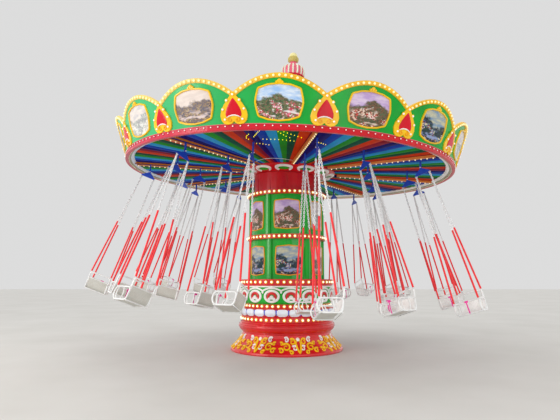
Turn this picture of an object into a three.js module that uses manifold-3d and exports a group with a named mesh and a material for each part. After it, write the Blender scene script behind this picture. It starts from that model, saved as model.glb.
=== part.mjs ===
// Chair swing ride: a round column carries a tilted canopy that turns,
// and twenty-four chairs hang from the canopy on chains.
// Millimetres, +Z up, origin at the centre of the column's foot on the ground.
// Angles around the column start at -Y (the front) and grow towards +X.
import * as THREE from "three";
import { mergeVertices } from "three/addons/utils/BufferGeometryUtils.js";
import Module from "manifold-3d";

const wasm = await Module();
wasm.setup();

// Gap kept between solids that rest on each other
const SEAT_GAP = 0.3;

// Canopy: at the lean height its centre stands a little right of the column's axis,
// and about that point it leans to the right and to the front
const LEAN_RIGHT = 0.04;
const LEAN_FRONT = 0.03;
const LEAN_HEIGHT = 4600;
const CENTRE_RIGHT = 70;
const FIRST_RIB_DEG = 7.6;
const RIBS = 8;
const BOARDS = 16;
const RIM_RADIUS = 4200;
const RIM_WALL = 65;
const RIM_SEGMENTS = 64;
const RIM_BOTTOM = 4528;
const RIM_TOP = 4643;
const CEILING_UNDER = 4615;
const CEILING_THICKNESS = 26;
const BOARD_THICKNESS = 30;
const BOARD_VALLEY = 551;
const BOARD_PEAK = 850;
const BOARD_LEAN = 0.322;
const BOARD_STEPS = 6;
const CROWN_BOTTOM = 4465;
const CROWN_RADIUS = 1235;
const ROOF_TOP = 6870;
const FINIAL_TOP = 7720;

// Hangers under the canopy
const OUTER_RADIUS = 3640;
const INNER_RADIUS = 2353;
const MIDDLE_RADIUS = 3083;
const PIVOT_HEIGHT = 4380;
const POST_WIDTH = 32;
const EAR_THICKNESS = 8;
const EAR_WIDTH = 38;
const EAR_BELOW = 24;
const FORK_ABOVE = 40;
const ARM_WIDTH = 85;
const ARM_DEPTH = 45;
const ARM_END = RIM_RADIUS - RIM_WALL - 8;

// Chairs as they fly at speed: how far they swing outward, and how far they trail behind their hangers
const OUTER_SWING_DEG = 19.3;
const MIDDLE_SWING_DEG = 19.1;
const INNER_SWING_DEG = 11.7;
const TRAIL_DEG = 1;
const PIVOT_CLEARANCE = 0.4;
const LUG_THICKNESS = POST_WIDTH - 2 * EAR_THICKNESS - 2 * PIVOT_CLEARANCE;
const SPREADER_HALF = 175;
const SPREADER_DROP = 140;
const SEAT_DROP = 3260;
const SEAT_HALF = 250;
const TUBE = 28;
const CHAIN = 34;

// Column, from the ground up
const BELL_TOP = 465;
const BOWL_TOP = 850;
const PETAL_TOP = 1160;
const ORNAMENT_TOP = 1750;
const LOWER_TOP = 2850;
const UPPER_TOP = 3965;
const NECK_TOP = 4455;
const NECK_RADIUS = 850;
const DRUM_RADIUS = 915;
const LOWER_DRUM_TURN_DEG = 2.5;
const PILASTER_RADIUS = 75;
const PILASTERS = 6;
const DRUM_LAMP_RADIUS = 1012;
const DRUM_LAMP_HEIGHT = 110;
const BEARING_RADIUS = 600;
const BEARING_CLEARANCE = 0.5;
const ROUND = 40;

const radians = THREE.MathUtils.degToRad;

const paint = {
  red: new THREE.MeshStandardMaterial({ color: 0xc8141e, roughness: 0.35, metalness: 0.0 }),
  green: new THREE.MeshStandardMaterial({ color: 0x0f9b3c, roughness: 0.35, metalness: 0.0 }),
  white: new THREE.MeshStandardMaterial({ color: 0xf2f0ea, roughness: 0.4, metalness: 0.0 }),
  blue: new THREE.MeshStandardMaterial({ color: 0x1c3fa8, roughness: 0.4, metalness: 0.1 }),
  cream: new THREE.MeshStandardMaterial({ color: 0xe0cfa2, roughness: 0.5, metalness: 0.0 }),
  yellow: new THREE.MeshStandardMaterial({ color: 0xf6c81e, roughness: 0.35, metalness: 0.0 }),
  pink: new THREE.MeshStandardMaterial({ color: 0xd9717f, roughness: 0.4, metalness: 0.0 }),
  steel: new THREE.MeshStandardMaterial({ color: 0xc9ccd0, roughness: 0.3, metalness: 0.9 }),
};

// Solids and booleans

// The same surface with its shared corners merged, before anything turns it
function welded(geometry) {
  geometry.deleteAttribute("normal");
  geometry.deleteAttribute("uv");
  return mergeVertices(geometry, 1e-3);
}

function toSolid(geometry) {
  return new wasm.Manifold(new wasm.Mesh({
    numProp: 3,
    vertProperties: new Float32Array(geometry.attributes.position.array),
    triVerts: new Uint32Array(geometry.index.array),
  }));
}

function toGeometry(solid) {
  const mesh = solid.getMesh();
  const geometry = new THREE.BufferGeometry();
  geometry.setAttribute("position", new THREE.BufferAttribute(new Float32Array(mesh.vertProperties), 3));
  geometry.setIndex(new THREE.BufferAttribute(new Uint32Array(mesh.triVerts), 1));
  geometry.computeVertexNormals();
  return geometry;
}

function join(geometries) {
  let solid = toSolid(geometries[0]);
  for (const geometry of geometries.slice(1)) {
    solid = solid.add(toSolid(geometry));
  }
  return toGeometry(solid);
}

function block(x0, x1, y0, y1, z0, z1) {
  const geometry = welded(new THREE.BoxGeometry(x1 - x0, y1 - y0, z1 - z0));
  geometry.translate((x0 + x1) / 2, (y0 + y1) / 2, (z0 + z1) / 2);
  return geometry;
}

// A square bar from one point to another
function bar(from, to, size) {
  const start = new THREE.Vector3(...from);
  const end = new THREE.Vector3(...to);
  const along = end.clone().sub(start);
  const geometry = welded(new THREE.BoxGeometry(size, size, along.length()));
  const turn = new THREE.Quaternion().setFromUnitVectors(new THREE.Vector3(0, 0, 1), along.normalize());
  geometry.applyQuaternion(turn);
  geometry.translate(...start.add(end).multiplyScalar(0.5).toArray());
  return geometry;
}

// A solid of revolution about Z from [radius, height] points that start and end on the axis
function turned(profile, segments = ROUND) {
  const points = profile.map(([r, z]) => new THREE.Vector2(r, z));
  const geometry = welded(new THREE.LatheGeometry(points, segments));
  geometry.rotateX(Math.PI / 2);
  return geometry;
}

// A ring of revolution about Z from [radius, height] points; the outline closes on itself
function ring(profile, segments = ROUND) {
  return turned([...profile, profile[0]], segments);
}

function extruded(shape, depth) {
  return welded(new THREE.ExtrudeGeometry(shape, { depth, bevelEnabled: false }));
}

function piece(name, geometry, material) {
  const mesh = new THREE.Mesh(geometry, material);
  mesh.name = name;
  return mesh;
}

// Column

function makeBaseBell() {
  return piece("base_bell", turned([
    [0, 0], [1415, 0], [1430, 25], [1420, 60], [1330, 140],
    [1220, 250], [1140, 370], [1110, BELL_TOP], [0, BELL_TOP],
  ]), paint.red);
}

function makeBaseBowl() {
  const low = BELL_TOP + SEAT_GAP;
  return piece("base_bowl", turned([
    [0, low], [1110, low], [1170, 500], [1208, 545], [1222, 600], [1208, 655],
    [1150, 718], [1155, 735], [1155, BOWL_TOP], [0, BOWL_TOP],
  ]), paint.red);
}

function makePetalBand() {
  const low = BOWL_TOP + SEAT_GAP;
  return piece("petal_band", turned([
    [0, low], [1150, low], [1215, 950], [1200, 1045], [1115, 1060], [1115, PETAL_TOP], [0, PETAL_TOP],
  ]), paint.white);
}

function makeOrnamentBand() {
  const low = PETAL_TOP + SEAT_GAP;
  return piece("ornament_band", turned([
    [0, low], [1140, low], [1178, 1200], [1178, 1595], [1192, 1615], [1192, ORNAMENT_TOP], [0, ORNAMENT_TOP],
  ]), paint.green);
}

// The drum's outline: a circle with half-round pilasters between the picture fields
function drumOutline(turn) {
  const shape = new THREE.Shape();
  const halfAngle = Math.asin(PILASTER_RADIUS / DRUM_RADIUS);
  const fieldSteps = 5;
  const bumpSteps = 5;
  const points = [];
  for (let i = 0; i < PILASTERS; i += 1) {
    const middle = ((i + 0.5) * 2 * Math.PI) / PILASTERS + turn;
    const cx = DRUM_RADIUS * Math.sin(middle);
    const cy = -DRUM_RADIUS * Math.cos(middle);
    for (let k = 0; k <= bumpSteps; k += 1) {
      const around = middle - Math.PI / 2 + (Math.PI * k) / bumpSteps;
      points.push([cx + PILASTER_RADIUS * Math.sin(around), cy - PILASTER_RADIUS * Math.cos(around)]);
    }
    const fieldStart = middle + halfAngle;
    const fieldAngle = (2 * Math.PI) / PILASTERS - 2 * halfAngle;
    for (let k = 1; k < fieldSteps; k += 1) {
      const angle = fieldStart + (fieldAngle * k) / fieldSteps;
      points.push([DRUM_RADIUS * Math.sin(angle), -DRUM_RADIUS * Math.cos(angle)]);
    }
  }
  points.forEach(([x, y], i) => (i === 0 ? shape.moveTo(x, y) : shape.lineTo(x, y)));
  shape.closePath();
  return shape;
}

function makeDrum(name, bottom, top, turn) {
  const low = bottom + SEAT_GAP;
  const body = extruded(drumOutline(turn), top - low - 10);
  body.translate(0, 0, low);
  const lampLow = top - DRUM_LAMP_HEIGHT;
  const lampRing = turned([
    [0, lampLow], [DRUM_LAMP_RADIUS, lampLow], [DRUM_LAMP_RADIUS, top], [0, top],
  ]);
  return piece(name, join([body, lampRing]), paint.green);
}

// Height of the leaning plane that lies at "level" on the canopy's axis
function leaningHeight(x, y, level) {
  const up = new THREE.Vector3(0, 0, 1).applyEuler(new THREE.Euler(LEAN_FRONT, LEAN_RIGHT, 0, "XYZ"));
  const centre = up.clone().multiplyScalar(level - LEAN_HEIGHT);
  centre.x += CENTRE_RIGHT;
  centre.z += LEAN_HEIGHT;
  return centre.z - (up.x * (x - centre.x) + up.y * (y - centre.y)) / up.z;
}

function makeNeckDrum() {
  const low = UPPER_TOP + SEAT_GAP;
  const geometry = turned([[0, low], [NECK_RADIUS, low], [NECK_RADIUS, NECK_TOP], [0, NECK_TOP]]);
  const position = geometry.attributes.position;
  for (let i = 0; i < position.count; i += 1) {
    if (position.getZ(i) > NECK_TOP - 1) {
      position.setZ(i, leaningHeight(position.getX(i), position.getY(i), NECK_TOP));
    }
  }
  return piece("neck_drum", geometry, paint.red);
}

function makeSlewBearing() {
  const low = NECK_TOP + SEAT_GAP;
  const high = CROWN_BOTTOM - BEARING_CLEARANCE;
  return piece("slew_bearing", turned([
    [0, low], [BEARING_RADIUS, low], [BEARING_RADIUS, high], [0, high],
  ]), paint.steel);
}

// Canopy

function makeCrownRing() {
  const top = CEILING_UNDER - SEAT_GAP;
  return piece("crown_ring", turned([
    [0, CROWN_BOTTOM], [870, CROWN_BOTTOM], [950, 4490], [1120, 4540], [1225, 4572],
    [CROWN_RADIUS, 4585], [CROWN_RADIUS, top], [0, top],
  ]), paint.red);
}

function makeRimBand() {
  const inside = RIM_RADIUS - RIM_WALL;
  return piece("rim_band", ring([
    [inside, RIM_BOTTOM], [RIM_RADIUS, RIM_BOTTOM], [RIM_RADIUS, RIM_TOP], [inside, RIM_TOP],
  ], RIM_SEGMENTS), paint.red);
}

// Post with a fork at its foot; "high" is where it meets what carries it
function hangerPost(radius, high) {
  const half = POST_WIDTH / 2;
  const fork = PIVOT_HEIGHT + FORK_ABOVE;
  const earLow = PIVOT_HEIGHT - EAR_BELOW;
  const parts = [block(radius - half, radius + half, -half, half, fork, high)];
  for (const side of [-1, 1]) {
    const y0 = side > 0 ? half - EAR_THICKNESS : -half;
    parts.push(block(radius - EAR_WIDTH / 2, radius + EAR_WIDTH / 2, y0, y0 + EAR_THICKNESS, earLow, fork + 10));
  }
  return parts;
}

// A disc inside the rim; the hanger posts of the middle chairs hang from it
function makeCeiling() {
  const top = CEILING_UNDER + CEILING_THICKNESS;
  const edge = RIM_RADIUS - RIM_WALL - SEAT_GAP;
  const parts = [turned([[0, CEILING_UNDER], [edge, CEILING_UNDER], [edge, top], [0, top]], RIM_SEGMENTS)];
  for (let i = 0; i < RIBS; i += 1) {
    const angle = radians(FIRST_RIB_DEG + (360 / RIBS) * (i + 0.5) - 90);
    for (const part of hangerPost(MIDDLE_RADIUS, CEILING_UNDER + 10)) {
      part.rotateZ(angle);
      parts.push(part);
    }
  }
  return piece("ceiling", join(parts), paint.blue);
}

function makeArm(index) {
  const top = CEILING_UNDER - SEAT_GAP;
  const low = top - ARM_DEPTH;
  const start = CROWN_RADIUS + SEAT_GAP;
  const parts = [block(start, ARM_END, -ARM_WIDTH / 2, ARM_WIDTH / 2, low, top)];
  parts.push(...hangerPost(INNER_RADIUS, low + 10));
  parts.push(...hangerPost(OUTER_RADIUS, low + 10));
  const mesh = piece(`arm_${index + 1}`, join(parts), paint.cream);
  mesh.rotation.z = radians(FIRST_RIB_DEG + (360 / RIBS) * index - 90);
  return mesh;
}

// Sixteen boards with arched tops in one leaning ring, highest half-way between ribs
function makeRoundingBoards() {
  const low = RIM_TOP + SEAT_GAP;
  const count = BOARDS * BOARD_STEPS;
  const positions = [];
  const indices = [];
  for (let i = 0; i < count; i += 1) {
    const angle = radians(FIRST_RIB_DEG + (360 * i) / count);
    const across = 2 * ((i % BOARD_STEPS) / BOARD_STEPS) - 1;
    const rise = BOARD_VALLEY + (BOARD_PEAK - BOARD_VALLEY) * (1 - across * across);
    const topRadius = RIM_RADIUS + rise * BOARD_LEAN;
    const section = [
      [RIM_RADIUS, low], [topRadius, low + rise],
      [topRadius - BOARD_THICKNESS, low + rise], [RIM_RADIUS - BOARD_THICKNESS, low],
    ];
    for (const [r, z] of section) {
      positions.push(r * Math.sin(angle), -r * Math.cos(angle), z);
    }
    for (let k = 0; k < 4; k += 1) {
      const a = i * 4 + k;
      const b = i * 4 + ((k + 1) % 4);
      const c = ((i + 1) % count) * 4 + k;
      const d = ((i + 1) % count) * 4 + ((k + 1) % 4);
      indices.push(a, c, b, b, c, d);
    }
  }
  const geometry = new THREE.BufferGeometry();
  geometry.setAttribute("position", new THREE.Float32BufferAttribute(positions, 3));
  geometry.setIndex(indices);
  geometry.computeVertexNormals();
  return piece("rounding_boards", geometry, paint.green);
}

function makeRoof() {
  const low = CEILING_UNDER + CEILING_THICKNESS + SEAT_GAP;
  const skin = 20;
  const curve = [[4060, low + 90], [2500, 5340], [1300, 6020], [600, 6560], [300, ROOF_TOP]];
  const outside = [[4060, low], ...curve, [0, ROOF_TOP]];
  const inside = [[0, ROOF_TOP - skin], ...curve.slice().reverse().map(([r, z]) => [r - skin, z - skin])];
  inside.push([4060 - skin, low]);
  return piece("roof", turned([...inside, ...outside], 32), paint.white);
}

function makeFinialCrown() {
  const low = ROOF_TOP + SEAT_GAP;
  return piece("finial_crown", turned([
    [0, low], [240, low], [170, 7050], [200, 7220], [290, 7290], [312, 7400], [300, 7530],
    [210, 7600], [120, 7660], [100, FINIAL_TOP], [0, FINIAL_TOP],
  ], 16), paint.pink);
}

function makeFinialBall() {
  const low = FINIAL_TOP + SEAT_GAP;
  const profile = [[0, low], [60, low]];
  const radius = 135;
  const centre = low + 150;
  for (let i = 1; i < 8; i += 1) {
    const angle = radians(-60 + (150 * i) / 8);
    profile.push([radius * Math.cos(angle), centre + radius * Math.sin(angle)]);
  }
  profile.push([0, centre + radius]);
  return piece("finial_ball", turned(profile, 16), paint.yellow);
}

// Chairs

// Seat sheet: pan and back in one bent sheet, [y, z] above the underside; the rider faces -Y
function seatSheet() {
  const upper = [[-205, 14], [95, 14], [138, 30], [162, 66], [204, 266]];
  const lower = [[218, 263], [176, 61], [147, 19], [99, 0], [-205, 0]];
  const shape = new THREE.Shape();
  [...upper, ...lower].forEach(([y, z], i) => (i === 0 ? shape.moveTo(y, z) : shape.lineTo(y, z)));
  shape.closePath();
  const width = 2 * SEAT_HALF - TUBE - 4;
  const geometry = extruded(shape, width);
  geometry.translate(0, 0, -width / 2);
  geometry.rotateX(Math.PI / 2);
  geometry.rotateZ(Math.PI / 2);
  return geometry;
}

// A flat closed loop of tube in the YZ plane at x, mitred at its corners; points run anticlockwise
function sideLoop(points, x) {
  const outline = (offset) => points.map(([y, z], i) => {
    const [y0, z0] = points[(i + points.length - 1) % points.length];
    const [y1, z1] = points[(i + 1) % points.length];
    const before = new THREE.Vector2(y - y0, z - z0).normalize();
    const after = new THREE.Vector2(y1 - y, z1 - z).normalize();
    const mitre = new THREE.Vector2(before.y + after.y, -before.x - after.x).normalize();
    const reach = offset / (mitre.x * before.y - mitre.y * before.x);
    return new THREE.Vector2(y + mitre.x * reach, z + mitre.y * reach);
  });
  const shape = new THREE.Shape(outline(TUBE / 2));
  shape.holes.push(new THREE.Path(outline(-TUBE / 2)));
  const geometry = extruded(shape, TUBE);
  geometry.translate(0, 0, -TUBE / 2);
  geometry.rotateX(Math.PI / 2);
  geometry.rotateZ(Math.PI / 2);
  geometry.translate(x, 0, 0);
  return geometry;
}

// Lug and spreader: one three-cornered plate across the chair, [x, z] from the pivot
function spreaderPlate() {
  const right = [[16, 20], [20, -18], [36, -30], [SPREADER_HALF, 12 - SPREADER_DROP],
    [SPREADER_HALF, -20 - SPREADER_DROP]];
  const left = right.slice().reverse().map(([x, z]) => [-x, z]);
  const shape = new THREE.Shape();
  [...left, ...right].reverse().forEach(([x, z], i) => (i === 0 ? shape.moveTo(x, z) : shape.lineTo(x, z)));
  shape.closePath();
  const geometry = extruded(shape, LUG_THICKNESS);
  geometry.translate(0, 0, -LUG_THICKNESS / 2);
  geometry.rotateX(Math.PI / 2);
  return geometry;
}

// Everything that swings with one chair; the pivot is the origin and the chair hangs along -Z.
// Below the spreader the chains let it trail a little.
function chairGeometry() {
  const parts = [seatSheet()];
  const armrest = [[-200, 235], [-246, 112], [-192, 0], [168, 0], [205, 235]];
  const backTop = [232, 405];
  for (const side of [-1, 1]) {
    const x = side * SEAT_HALF;
    parts.push(sideLoop(armrest, x));
    parts.push(bar([x, ...armrest[4]], [x, ...backTop], TUBE));
    const top = [side * (SPREADER_HALF - CHAIN / 2), 0, SEAT_DROP - SPREADER_DROP];
    parts.push(bar([x, ...armrest[0]], top, CHAIN));
    parts.push(bar([x, ...backTop], top, CHAIN));
  }
  for (const [y, z] of [armrest[3], armrest[2], armrest[0], backTop]) {
    parts.push(bar([-SEAT_HALF, y, z], [SEAT_HALF, y, z], TUBE - 4));
  }
  for (const part of parts) {
    part.translate(0, 0, SPREADER_DROP - SEAT_DROP);
    part.rotateX(radians(TRAIL_DEG));
    part.translate(0, 0, -SPREADER_DROP);
  }
  return join([...parts, spreaderPlate()]);
}

function makeChair(name, radius, degrees, swingDegrees) {
  const angle = radians(degrees);
  const hanger = new THREE.Group();
  hanger.position.set(radius * Math.sin(angle), -radius * Math.cos(angle), PIVOT_HEIGHT);
  hanger.rotation.z = angle - Math.PI / 2;
  const chair = piece(name, chairGeometry(), paint.white);
  chair.rotation.y = -radians(swingDegrees);
  hanger.add(chair);
  return hanger;
}

// Assembly

const ride = new THREE.Group();
ride.add(makeBaseBell());
ride.add(makeBaseBowl());
ride.add(makePetalBand());
ride.add(makeOrnamentBand());
ride.add(makeDrum("lower_drum", ORNAMENT_TOP, LOWER_TOP, radians(LOWER_DRUM_TURN_DEG)));
ride.add(makeDrum("upper_drum", LOWER_TOP, UPPER_TOP, 0));
ride.add(makeNeckDrum());

const leaning = new THREE.Group();
leaning.position.set(CENTRE_RIGHT, 0, LEAN_HEIGHT);
leaning.rotation.set(LEAN_FRONT, LEAN_RIGHT, 0, "XYZ");
ride.add(leaning);

const canopy = new THREE.Group();
canopy.position.z = -LEAN_HEIGHT;
leaning.add(canopy);
canopy.add(makeSlewBearing());
canopy.add(makeCrownRing());
canopy.add(makeRimBand());
canopy.add(makeCeiling());
canopy.add(makeRoundingBoards());
canopy.add(makeRoof());
canopy.add(makeFinialCrown());
canopy.add(makeFinialBall());
for (let i = 0; i < RIBS; i += 1) {
  const ribAngle = FIRST_RIB_DEG + (360 / RIBS) * i;
  canopy.add(makeArm(i));
  canopy.add(makeChair(`chair_outer_${i + 1}`, OUTER_RADIUS, ribAngle, OUTER_SWING_DEG));
  canopy.add(makeChair(`chair_inner_${i + 1}`, INNER_RADIUS, ribAngle, INNER_SWING_DEG));
  canopy.add(makeChair(`chair_middle_${i + 1}`, MIDDLE_RADIUS, ribAngle + 180 / RIBS, MIDDLE_SWING_DEG));
}

export default ride;
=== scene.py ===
import math

import bpy
from mathutils import Matrix, Vector


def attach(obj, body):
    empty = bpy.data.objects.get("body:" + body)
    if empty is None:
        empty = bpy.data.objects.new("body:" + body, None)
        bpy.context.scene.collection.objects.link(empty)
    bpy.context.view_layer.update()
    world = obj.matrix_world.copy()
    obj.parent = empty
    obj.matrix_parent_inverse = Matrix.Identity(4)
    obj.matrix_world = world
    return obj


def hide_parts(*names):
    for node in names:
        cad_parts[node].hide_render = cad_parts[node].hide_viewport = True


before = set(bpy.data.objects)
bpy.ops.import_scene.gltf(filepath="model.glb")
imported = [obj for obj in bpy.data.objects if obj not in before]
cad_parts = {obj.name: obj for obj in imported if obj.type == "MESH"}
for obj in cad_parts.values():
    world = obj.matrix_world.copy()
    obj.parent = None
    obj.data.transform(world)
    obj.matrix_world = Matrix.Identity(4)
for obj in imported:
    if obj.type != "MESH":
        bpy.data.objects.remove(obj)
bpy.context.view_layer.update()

# Canopy: it leans to the right and to the front about a centre a little right of the column's axis
LEAN_FRONT = 0.03
LEAN_RIGHT = 0.04
LEAN_HEIGHT = 4.6
CENTRE_RIGHT = 0.07
FIRST_RIB = math.radians(7.6)
RIBS = 8
BOARDS = 16
RIM_RADIUS = 4.2
RIM_INSIDE = 4.135
RIM_BOTTOM = 4.528
RIM_TOP = 4.643
RIM_LAMPS = 176
CEILING = 4.615
BOARD_FOOT = 4.6433
BOARD_THICKNESS = 0.03
BOARD_VALLEY = 0.551
BOARD_PEAK = 0.85
BOARD_LEAN = 0.322
CROWN_RADIUS = 1.235
CROWN_ARCHES = 12
FIRST_ARCH = math.radians(-7.8)
PANEL_INSIDE = 1.19
PANEL_OUTSIDE = 4.0
LAMPS_BESIDE_RIB = 0.095
FIRST_STRIPE = 0.64

# Hangers and chairs
PIVOT_HEIGHT = 4.38
TRAIL = math.radians(1)
SPREADER_HALF = 0.175
SPREADER_DROP = 0.14
SPREADER_THICKNESS = 0.015
SEAT_DROP = 3.26
SEAT_HALF = 0.25
TUBE_RADIUS = 0.015
SLEEVE_SHARE = 0.49
CHAIN_TOP = (0.158, 0.0, -0.175)
ARM_FRONT = (-0.2, 0.235)
ARM_BACK = (0.205, 0.235)
BACK_TOP = (0.232, 0.405)
STRAP_WIDTH = 0.024

# Each ring of chairs: its name, the radius of its pivots, the share of a bay it is set round, its swing
CHAIR_RINGS = (
    ("outer", 3.64, 0.0, math.radians(19.3)),
    ("inner", 2.353, 0.0, math.radians(11.7)),
    ("middle", 3.083, 0.5, math.radians(19.1)),
)

# Column
DRUM_RADIUS = 0.915
DRUM_LAMP_RADIUS = 1.012
NECK_RADIUS = 0.85
NECK_FOOT = 3.965
PICTURES = 6
LAMPS_ROUND = 50
COLUMN_LAMP = 0.025

LEAN = (
    Matrix.Translation((CENTRE_RIGHT, 0, LEAN_HEIGHT))
    @ Matrix.Rotation(LEAN_FRONT, 4, "X")
    @ Matrix.Rotation(LEAN_RIGHT, 4, "Y")
    @ Matrix.Translation((0, 0, -LEAN_HEIGHT))
)
UPRIGHT = Matrix.Identity(4)


# Geometry helpers

class Shape:
    """Points and faces for one mesh, with a paint for each face and a flat place for each point."""

    def __init__(self):
        self.points = []
        self.flat = []
        self.faces = []
        self.paints = []

    def add(self, part, paint=0):
        points, faces, *flat = part
        start = len(self.points)
        self.points.extend(points)
        self.flat.extend(flat[0] if flat else [(0.0, 0.0)] * len(points))
        for face in faces:
            self.faces.append([start + i for i in face])
            self.paints.append(paint)


def dress_mesh(mesh, paints, sharp):
    for one in paints:
        mesh.materials.append(one)
    mesh.shade_smooth()
    mesh.set_sharp_from_angle(angle=math.radians(sharp))


def make_mesh(name, shape, paints, sharp):
    mesh = bpy.data.meshes.new(name)
    mesh.from_pydata(shape.points, [], shape.faces)
    dress_mesh(mesh, paints, sharp)
    mesh.polygons.foreach_set("material_index", shape.paints)
    return mesh


def add_object(name, data):
    made = bpy.data.objects.new(name, data)
    bpy.context.scene.collection.objects.link(made)
    return made


def place_piece(name, mesh, body, matrix):
    """The finished object of a mesh, riding on its body."""
    piece = add_object(name, mesh)
    piece.matrix_world = matrix
    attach(piece, body)
    return piece


def make_piece(name, shape, paints, body, matrix, sharp=40):
    """A piece made from a shape, with the flat places of its points."""
    mesh = make_mesh(name, shape, paints, sharp)
    layer = mesh.uv_layers.new(name="flat")
    corners = [0] * len(mesh.loops)
    mesh.loops.foreach_get("vertex_index", corners)
    layer.data.foreach_set("uv", [value for corner in corners for value in shape.flat[corner]])
    mesh.validate()
    return place_piece(name, mesh, body, matrix)


def column_piece(name, shape, paints):
    make_piece(name, shape, paints, "column", UPRIGHT)


def canopy_piece(name, shape, paints, sharp=40):
    return make_piece(name, shape, paints, "canopy", LEAN, sharp)


def steps_round(count, first=0.0, shift=0.0):
    """The angles of so many places spread evenly round the column; shift is a share of one step."""
    return [first + 2 * math.pi * (i + shift) / count for i in range(count)]


def sweep(start, end, steps):
    """Angles at even steps from one to another, both given in degrees."""
    return [math.radians(start + (end - start) * k / steps) for k in range(steps + 1)]


def around(radius, turn, height):
    """The point at a radius, an angle and a height round the column."""
    return Vector((radius * math.sin(turn), -radius * math.cos(turn), height))


def on_wall(profile, angle):
    """Places on a turned wall: u runs round it from the angle, v up along the profile, w out of it."""
    reference = profile[0][0]
    legs = []
    for (r0, z0), (r1, z1) in zip(profile, profile[1:]):
        length = math.hypot(r1 - r0, z1 - z0)
        legs.append((r0, z0, (r1 - r0) / length, (z1 - z0) / length, length))

    def place(u, v, w=0.0):
        left = v
        for r0, z0, out, up, length in legs:
            if left <= length:
                break
            left -= length
        else:
            left += length
        return around(r0 + out * left + up * w, angle + u / reference, z0 + up * left - out * w)

    return place


def upright(radius, low, angle):
    """Places on an upright round wall, with v counted from a height."""
    return on_wall([(radius, low), (radius, low + 1)], angle)


def board_wall(angle, low=0.0):
    """Places on the sloping wall of the boards, with v counted from a line low above their foot."""
    rise = 1.2
    place = on_wall([(RIM_RADIUS, BOARD_FOOT), (RIM_RADIUS + rise * BOARD_LEAN, BOARD_FOOT + rise)], angle)
    return lambda u, v, w=0.0: place(u, v + low, w)


def ring_faces(rows, sides, closed=False):
    """Faces between neighbouring rings of points; a closed run joins its last ring to its first."""
    faces = []
    for i in range(rows if closed else rows - 1):
        a = i * sides
        b = (i + 1) % rows * sides
        for k in range(sides):
            m = (k + 1) % sides
            faces.append((a + k, a + m, b + m, b + k))
    return faces


def grid(columns, rows, place, closed=False):
    """A sheet of faces; place gives the point at two shares from 0 to 1."""
    across = columns if closed else columns + 1
    points = [place(i / columns, j / rows) for j in range(rows + 1) for i in range(across)]
    faces = ring_faces(rows + 1, across)
    return points, [face for n, face in enumerate(faces) if closed or n % across < columns]


def turned(profile, segments=96):
    """A wall of revolution about Z through (radius, height) points."""
    last = len(profile) - 1

    def place(share, row):
        radius, height = profile[round(row * last)]
        return around(radius, 2 * math.pi * share, height)

    return grid(segments, last, place, closed=True)


def moulding(radius, height, size, segments=96):
    """A half-round moulding round an upright wall."""
    return turned(arc((radius, height), size, size, sweep(-90, 90, 6)), segments)


def arc(centre, half_width, half_height, turns):
    """The (u, v) path over some angles of an ellipse."""
    u, v = centre
    return [(u + half_width * math.cos(t), v + half_height * math.sin(t)) for t in turns]


def four_fold(quarter, radius, steps):
    """A closed outline from its upper right quarter, with the corners rounded."""
    right = [(p.x, p.y) for p in rounded([(x, y, 0) for x, y in quarter], radius, steps)]
    top = right + [(-x, y) for x, y in reversed(right[:-1])]
    return top + [(-x, -y) for x, y in top[1:-1]]


def rounded(points, radius, steps=5, closed=False):
    """The path through the points with its corners rounded."""
    path = []
    count = len(points)
    for i in range(count):
        here = Vector(points[i])
        if not closed and i in (0, count - 1):
            path.append(here)
            continue
        before = Vector(points[i - 1]) - here
        after = Vector(points[(i + 1) % count]) - here
        reach = min(radius, before.length * 0.48, after.length * 0.48)
        start = here + before.normalized() * reach
        end = here + after.normalized() * reach
        for k in range(steps + 1):
            share = k / steps
            path.append(start.lerp(here, share).lerp(here.lerp(end, share), share))
    return path


def beside(path, i, closed=False):
    """The points before and after one point of a path."""
    if closed:
        return path[i - 1], path[(i + 1) % len(path)]
    return path[max(i - 1, 0)], path[min(i + 1, len(path) - 1)]


def normals(path, closed=False):
    """The direction to the left of a flat path at each of its points."""
    found = []
    for i in range(len(path)):
        (u0, v0), (u1, v1) = beside(path, i, closed)
        length = math.hypot(u1 - u0, v1 - v0) or 1.0
        found.append((-(v1 - v0) / length, (u1 - u0) / length))
    return found


def circle(centre, across, other, radius, turns):
    return [centre + (across * math.cos(t) + other * math.sin(t)) * radius for t in turns]


def tube(path, radius, sides=8, closed=False):
    """A round tube along the path."""
    path = [Vector(point) for point in path]
    count = len(path)
    points = []
    across = None
    for i, here in enumerate(path):
        before, after = beside(path, i, closed)
        along = (after - before).normalized()
        if across is None:
            seed = Vector((0, 0, 1)) if abs(along.z) < 0.9 else Vector((1, 0, 0))
            across = along.cross(seed)
        across = (across - along * across.dot(along)).normalized()
        other = along.cross(across)
        points.extend(circle(here, across, other, radius, steps_round(sides, shift=0.5)))
    faces = ring_faces(count, sides, closed)
    if not closed:
        faces.append(tuple(reversed(range(sides))))
        faces.append(tuple(range((count - 1) * sides, count * sides)))
    return points, faces


def knob(at, out, profile, sides, size):
    """A small turned form standing at a point; profile is (radius, height) along the way out."""
    across = out.orthogonal().normalized()
    other = out.cross(across)
    points = []
    for radius, height in profile:
        centre = at + out * (size * height)
        points.extend(circle(centre, across, other, size * radius, steps_round(sides)))
    faces = ring_faces(len(profile), sides)
    faces.append(tuple(range((len(profile) - 1) * sides, len(profile) * sides)))
    return points, faces


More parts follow.
